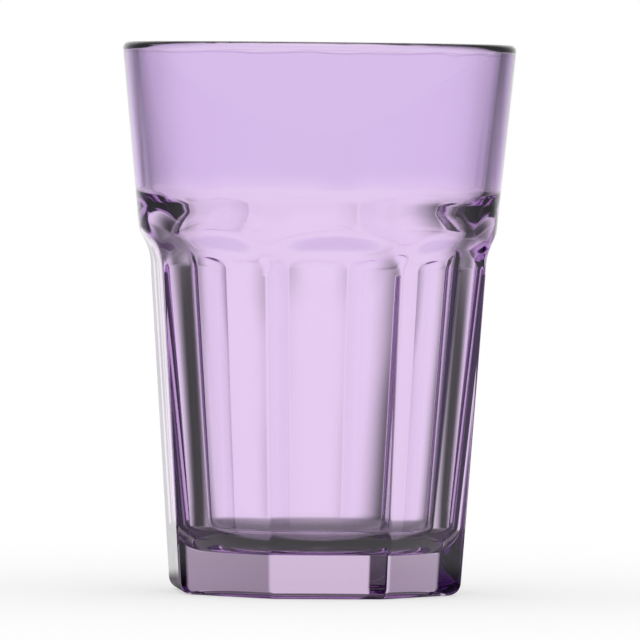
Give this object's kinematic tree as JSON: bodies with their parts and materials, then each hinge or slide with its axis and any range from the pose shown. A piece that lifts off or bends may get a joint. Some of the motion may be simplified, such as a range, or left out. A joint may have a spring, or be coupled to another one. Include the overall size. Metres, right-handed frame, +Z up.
{
  "type": "water glass",
  "caption": "Panelled water tumbler in clear lilac pressed glass: flared smooth upper wall, flat-panelled lower body, round cup with a stacking ledge and a thick base.",
  "frame": {"origin": "middle of the resting plane under the base", "axes": "+Z up along the glass's axis of symmetry, with one flat panel facing -Y"},
  "size_m": [0.0874, 0.0874, 0.122],
  "materials": {
    "lilac_glass": "clear soda-lime glass coloured lilac, press-moulded and fire-polished"
  },
  "bodies": {
    "root": {"tumbler": "lilac_glass"}
  },
  "joints": []
}
